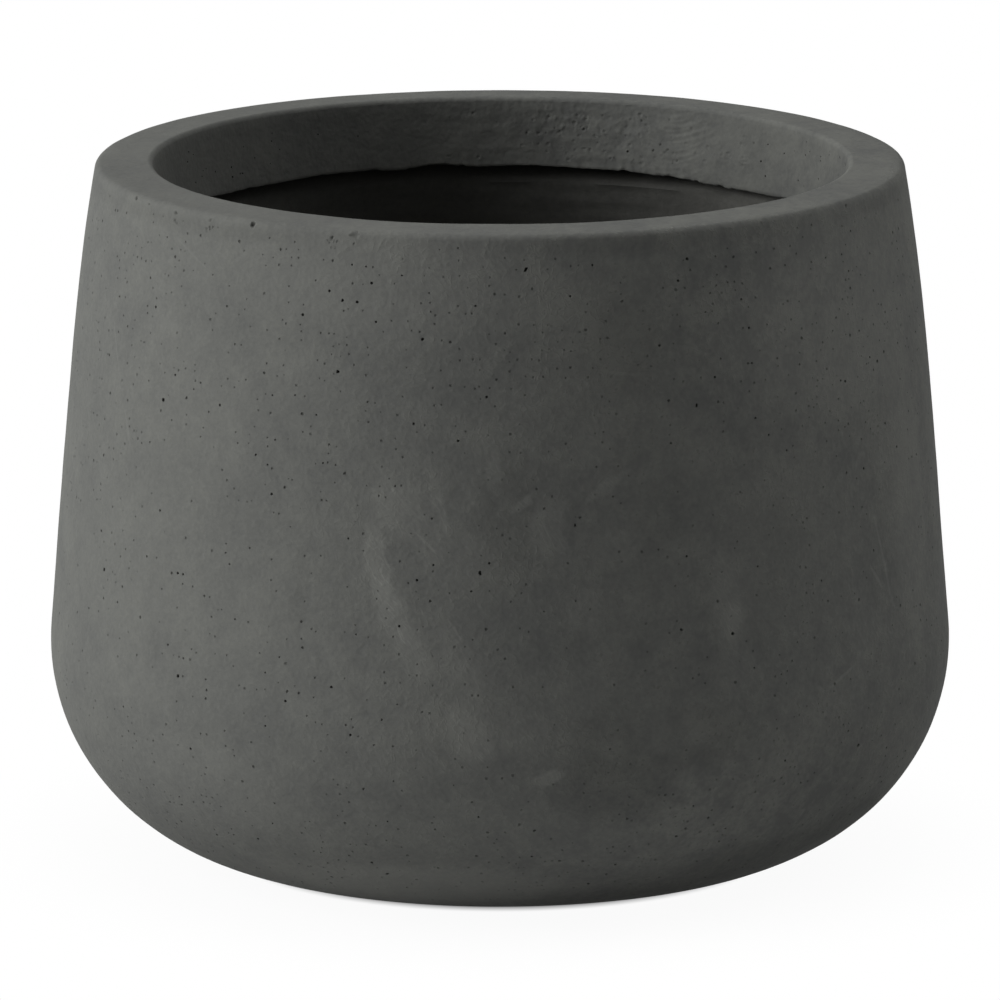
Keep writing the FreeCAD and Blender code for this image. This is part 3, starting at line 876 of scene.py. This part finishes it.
# Pinholes on the rest of the lip: how many, radius and depth in mm
LIP_PITS = ((90, 0.34, 0.5), (40, 0.44, 0.7))
# Where the lip's edge rises or sags: bearing from the back, spread, and rise in mm
LIP_SAGS = ((0.8, 0.3, -3.2), (-0.18, 0.07, 1.3), (-0.31, 0.06, -1.0), (-0.85, 0.2, -1.6))
EDGE_HEIGHT = 10 * MM
# The edge's raggedness: waves round the mouth, by how fine they are and their share
EDGE_WAVES = ((6, 1), (22, 0.35), (55, 0.3))
EDGE_WAVE_HEIGHT = 0.7 * MM
CHIP_HEIGHT = 2.2 * MM
CRUMBLE = 0.6 * MM

rim = bmesh.new()
worked = rim.verts.layers.float.new("worked")
rim.verts.layers.float.new("painted_shade")
back_angle = level_angle(shoulder_centre, shoulder_radius - MAT_INSET, LIP_LEVEL)
back_corner = polar(shoulder_centre, shoulder_radius - MAT_INSET, back_angle)
front = SectionPen(rim, rim_seam)
front.line(mouth_corner, RIM_STEP)
front.line(lip_corner, RIM_STEP)
for vert in rim.verts:
    vert[worked] = 1
front.line(lip_corner + point(0.6 * LIP_STEP, LIP_HOLLOW), RIM_STEP)
front.line(lip_corner + point(1.8 * LIP_STEP, 0), RIM_STEP)
front.line(back_corner, HIDDEN_STEP)
behind = SectionPen(rim, rim_seam)
top_angle = level_angle(shoulder_centre, shoulder_radius - MAT_INSET, rim_corner.z - RIM_SEAM)
behind.line(polar(shoulder_centre, shoulder_radius - MAT_INSET, top_angle), HIDDEN_STEP)
behind.line(back_corner, HIDDEN_STEP)
turn_section(rim, RIM_COLUMNS)
round_circle(rim, mouth_corner, MOUTH_BEVEL, segments=4)
round_circle(rim, lip_corner, LIP_BEVEL, segments=3)


def back_bearing(spot):
    """Where a spot lies round the mouth: nothing at the back, growing to the right as the front sees it."""
    return math.atan2(spot.x, spot.y)


def on_rough_lip(face):
    """Whether a face lies in the stretch of lip that the trowel left rough, which gets a finer mesh."""
    spot = face.calc_center_median()
    return (spot.z < HEIGHT - 2.5 * MM and spot.xy.length < lip_corner.x + 4 * MM
            and ROUGH_START < back_bearing(spot) < ROUGH_END)


rough_faces = [face for face in rim.faces if on_rough_lip(face)]
bmesh.ops.subdivide_edges(rim, edges=edges_of(rough_faces), cuts=3, use_grid_fill=True)
rim.normal_update()


def lip_density(spot):
    """Pocks in the lip: a few all round, and a crowd at the back, right of the middle."""
    crowd = bell(back_bearing(spot), 0.36, 0.26)
    return max(PIT_LEAST, 0.15 + 0.5 * noise.noise(spot / (25 * MM)) + 1.2 * crowd)


def trowel_relief(spot, bearing, round_spot):
    """How far the lip stands proud, in mm: ridges and lumps, crumbs and dimples in patches, and a swirl."""
    level = spot.z + 5 * MM * noise.noise(spot / (28 * MM))
    ridge = noise.noise(round_spot * 4 + Vector((0, 0, level / (3 * MM))))
    lumps = noise.noise(spot / (6 * MM))
    rough = bell(bearing, 0.3, 0.45) + 0.25
    patchy = max(0, noise.noise(spot / (14 * MM)) + 0.35) * math.exp(-((bearing - 0.27) / 0.33) ** 4)
    crumbs = max(0, noise.noise(spot / (2.4 * MM)) - 0.12)
    dimples = max(0, noise.noise(spot / (3 * MM) + Vector((5.2, 1.3, 8.8))) - 0.15)
    swirl_level = spot.z + 4 * MM * math.sin(bearing * 15)
    swirl = bell(bearing, 0.56, 0.11) * noise.noise(Vector((bearing * 9, swirl_level / (1.5 * MM), 0)))
    return rough * (0.16 * ridge + 0.2 * lumps) + patchy * (0.5 * crumbs - 0.5 * dimples) + 0.22 * swirl


def edge_rise(bearing, round_spot):
    """How far the lip's edge stands above its true level: ragged waves, chips and sags."""
    waves = sum(share * noise.noise(round_spot * fineness) for fineness, share in EDGE_WAVES)
    chips = max(0, noise.noise(round_spot * 26 + Vector((2.2, 0.4, 0))) - 0.2)
    sag = sum(rise * bell(bearing, where, spread) for where, spread, rise in LIP_SAGS)
    return EDGE_WAVE_HEIGHT * waves + CHIP_HEIGHT * chips + sag * MM


rim_chance = random.Random(5)
pock_faces = [face for face in rim.faces
              if on_rough_lip(face) and LIP_LEVEL + 4 * MM < face.calc_center_median().z < HEIGHT - 5 * MM]
pocks = []
for count, smallest, largest, depth_share, darkness in POCKS:
    for face in pick_faces(pock_faces, count, lip_density, rim_chance):
        radius = rim_chance.uniform(smallest, largest) * MM
        pocks.append((face.calc_center_median(), radius, depth_share * radius, darkness))
pit_shade_layer = rim.verts.layers.float["painted_shade"]
for vert in rim.verts:
    spot = vert.co.copy()
    reach = spot.xy.length
    bearing = back_bearing(spot)
    round_spot = Vector((math.cos(bearing), math.sin(bearing), 0))
    inward = Vector((-spot.x, -spot.y, 0)).normalized()
    behind_mouth = reach > mouth_corner.x + MOUTH_BEVEL
    if vert[worked] > HALF_MARK:
        bulge = bell(bearing, -1.6, 0.45) * clamp((rim_seam.x - reach) / (rim_seam.x - mouth_corner.x))
        vert.co += MOUTH_BULGE * bulge * inward
    if spot.z > HEIGHT - RIM_FALL - TOP_TOLERANCE and behind_mouth:
        vert.co.z += rim_wave(spot)
        continue
    if vert[worked] < HALF_MARK or behind_mouth:
        continue
    below = clamp((HEIGHT - spot.z) / LIP_FADE)
    deep, painted_darkness = pock_at(spot, pocks, flatten=1.4)
    # Painted shade darkens the lip everywhere but a stretch at the back, right of the middle; most on the
    # left
    lip_shade_share = clamp((0.4 - bearing) / 0.4) + 0.6 * clamp((bearing - 0.55) / 0.3)
    vert[pit_shade_layer] = max(painted_darkness, LIP_PAINTED_SHADE * below * lip_shade_share)
    vert.co += below * (trowel_relief(spot, bearing, round_spot) * MM - deep) * inward
    vert.co.z += (1 - below) * hand_wave(spot)
    lowness = max(0, 1 - (spot.z - LIP_LEVEL) / EDGE_HEIGHT) ** 2
    vert.co.z += lowness * edge_rise(bearing, round_spot)
    vert.co -= lowness * CRUMBLE * abs(noise.noise(round_spot * 30)) * inward
rim.normal_update()


def on_smooth_lip(face):
    """Whether a face lies on the lip, clear of its edges and of the rough stretch."""
    middle = face.calc_center_median()
    rough = ROUGH_START - ROUGH_MARGIN < back_bearing(middle) < ROUGH_END + ROUGH_MARGIN
    return fully_marked(face, worked) and LIP_LEVEL + 5 * MM < middle.z < HEIGHT - 5 * MM and not rough


lip_faces = [face for face in rim.faces if on_smooth_lip(face)]
for count, radius, depth in LIP_PITS:
    picked = pick_faces(lip_faces, count, lip_density, rim_chance)
    taken = set(picked)
    lip_faces = [face for face in lip_faces if face not in taken]
    sink_pits(rim, picked, radius * MM, depth * MM, 0.8, rim_chance, stretch=1.3, drift=0.4 * MM)
rim_piece = finish_piece(rim, "packed_rim", face_clay)
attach(rim_piece, "vessel")
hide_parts("rim_ring")


# Drain plug
# A loose stopper moulded from black rubber: a domed head that seals on the floor, over a finned stem. The
# rubber is dull and slightly grained, with a pale bloom of dust in patches.

PLUG_BLACK = "#232423"
PLUG_DUST = "#3d3d39"
BLOOM_SIZE = 7 * MM
RUBBER_GRAIN = 0.4 * MM

rubber, tree, shader, place = start_material("moulded_black_rubber", ior=1.52)
bloom = add_node(tree, "TexNoise", {"Vector": place, "Scale": 1 / BLOOM_SIZE, "Detail": 4,
                                    "Roughness": 0.6}).outputs["Fac"]
bloom = add_node(tree, "MapRange", {"Value": bloom, "From Min": 0.45, "From Max": 0.75}).outputs[0]
colour = add_node(tree, "Mix", {0: bloom, 6: linear(PLUG_BLACK), 7: linear(PLUG_DUST)},
                  data_type="RGBA").outputs[2]
tree.links.new(colour, shader.inputs["Base Color"])
rough = add_node(tree, "MapRange", {"Value": bloom, "To Min": 0.45, "To Max": 0.7}).outputs[0]
tree.links.new(rough, shader.inputs["Roughness"])
grain = add_node(tree, "TexNoise",
                 {"Vector": place, "Scale": 1 / RUBBER_GRAIN, "Detail": 1}).outputs["Fac"]
bump = add_node(tree, "Bump", {"Height": grain, "Distance": 0.05 * MM, "Strength": 0.5}).outputs[0]
tree.links.new(bump, shader.inputs["Normal"])
finish_node("drain_plug", rubber)


# Studio
# A pale floor that reads as white to the camera but keeps a faint shadow, and has a painted contact shadow
# round the foot, a large soft lamp on the left, weak ones above and on the right, and a low even fill.

FLOOR_SIZE = 12
FLOOR_WHITE = "#ffffff"
FLOOR_GREY = "#e2e2e2"
# A painted contact shadow: its grey, and where it starts and ends
CONTACT_SHADOW_PAINT = "#262626"
CONTACT_START = 110 * MM
CONTACT_END = 128 * MM
SHADOW_END = 260 * MM
SHADOW_SHARE = 0.05
FILL_STRENGTH = 0.06
AIM_LEVEL = 157 * MM
# Each lamp: name, bearing and rise in degrees, distance and size in m, and power in W
LAMPS = (
    ("key_softbox", -82, 25, 3.2, 2.2, 101),
    ("top_softbox", 0, 88, 3.2, 2.0, 24),
    ("right_softbox", 105, 42, 3.2, 1.4, 25),
)
CAMERA_DISTANCE = 5.0
CAMERA_RISE = math.radians(12.15)
CAMERA_LENS = 405
CAMERA_SENSOR = 36
CAMERA_CLIP = 100


def seen_directly(tree):
    """Tells the rays that show the background, straight or by way of gloss and glass, from the others."""
    rays = add_node(tree, "LightPath", {}).outputs
    seen = rays["Is Camera Ray"]
    for kind in ("Is Glossy Ray", "Is Transmission Ray"):
        seen = add_node(tree, "Math", {0: seen, 1: rays[kind]}, operation="MAXIMUM").outputs[0]
    return seen


stage = bmesh.new()
bmesh.ops.create_grid(stage, x_segments=8, y_segments=8, size=FLOOR_SIZE)
paper = bpy.data.materials.new("white_paper_sweep")
paper.use_nodes = True
tree = paper.node_tree
tree.nodes.remove(tree.nodes["Principled BSDF"])
place = add_node(tree, "TexCoord", {}).outputs["Object"]
away = add_node(tree, "VectorMath", {0: place}, operation="LENGTH").outputs["Value"]
# A painted contact shadow: the floor turns dark grey close round the foot, for the camera and for bounced
# light
contact_shadow_share = add_node(tree, "MapRange",
                    {"Value": away, "From Min": CONTACT_END, "From Max": CONTACT_START},
                    interpolation_type="SMOOTHSTEP").outputs[0]
near = add_node(tree, "MapRange",
                {"Value": away, "From Min": SHADOW_END, "From Max": CONTACT_END, "To Max": SHADOW_SHARE},
                interpolation_type="SMOOTHSTEP").outputs[0]
near = add_node(tree, "Math", {0: near, 1: contact_shadow_share}, operation="MAXIMUM").outputs[0]
paper_and_painted_shadow = add_node(tree, "Mix", {0: contact_shadow_share, 6: linear(FLOOR_GREY), 7: linear(CONTACT_SHADOW_PAINT)},
                      data_type="RGBA").outputs[2]
bounce = add_node(tree, "BsdfDiffuse", {"Color": paper_and_painted_shadow}).outputs[0]
white = add_node(tree, "Emission", {"Color": linear(FLOOR_WHITE), "Strength": 1.0}).outputs[0]
shown_floor = add_node(tree, "MixShader", {0: near, 1: white, 2: bounce}).outputs[0]
surface = add_node(tree, "MixShader", {0: seen_directly(tree), 1: bounce, 2: shown_floor}).outputs[0]
tree.links.new(surface, tree.nodes["Material Output"].inputs["Surface"])
floor = finish_piece(stage, "studio_floor", paper)

world = bpy.data.worlds.new("studio_fill")
bpy.context.scene.world = world
world.use_nodes = True
tree = world.node_tree
strength = add_node(tree, "MapRange",
                    {"Value": seen_directly(tree), "To Min": FILL_STRENGTH, "To Max": 1.0}).outputs[0]
tree.links.new(strength, tree.nodes["Background"].inputs["Strength"])
tree.nodes["Background"].inputs["Color"].default_value = linear(FLOOR_WHITE)

aim = Vector((0, 0, AIM_LEVEL))
for lamp_name, bearing, rise, distance, size, power in LAMPS:
    light = bpy.data.lights.new(lamp_name, "AREA")
    light.size = size
    light.energy = power
    lamp = bpy.data.objects.new(lamp_name, light)
    bpy.context.scene.collection.objects.link(lamp)
    rise = math.radians(rise)
    toward = spot_at(bearing, math.cos(rise), math.sin(rise))
    lamp.location = aim + distance * toward
    lamp.rotation_euler = toward.to_track_quat("Z", "Y").to_euler()

lens = bpy.data.cameras.new("photo_view")
lens.lens = CAMERA_LENS
lens.sensor_width = CAMERA_SENSOR
lens.clip_end = CAMERA_CLIP
camera = bpy.data.objects.new("photo_view", lens)
bpy.context.scene.collection.objects.link(camera)
camera.location = aim + CAMERA_DISTANCE * Vector((0, -math.cos(CAMERA_RISE), math.sin(CAMERA_RISE)))
camera.rotation_euler = (math.pi / 2 - CAMERA_RISE, 0, 0)
bpy.context.scene.camera = camera
bpy.context.scene.view_settings.view_transform = "Standard"
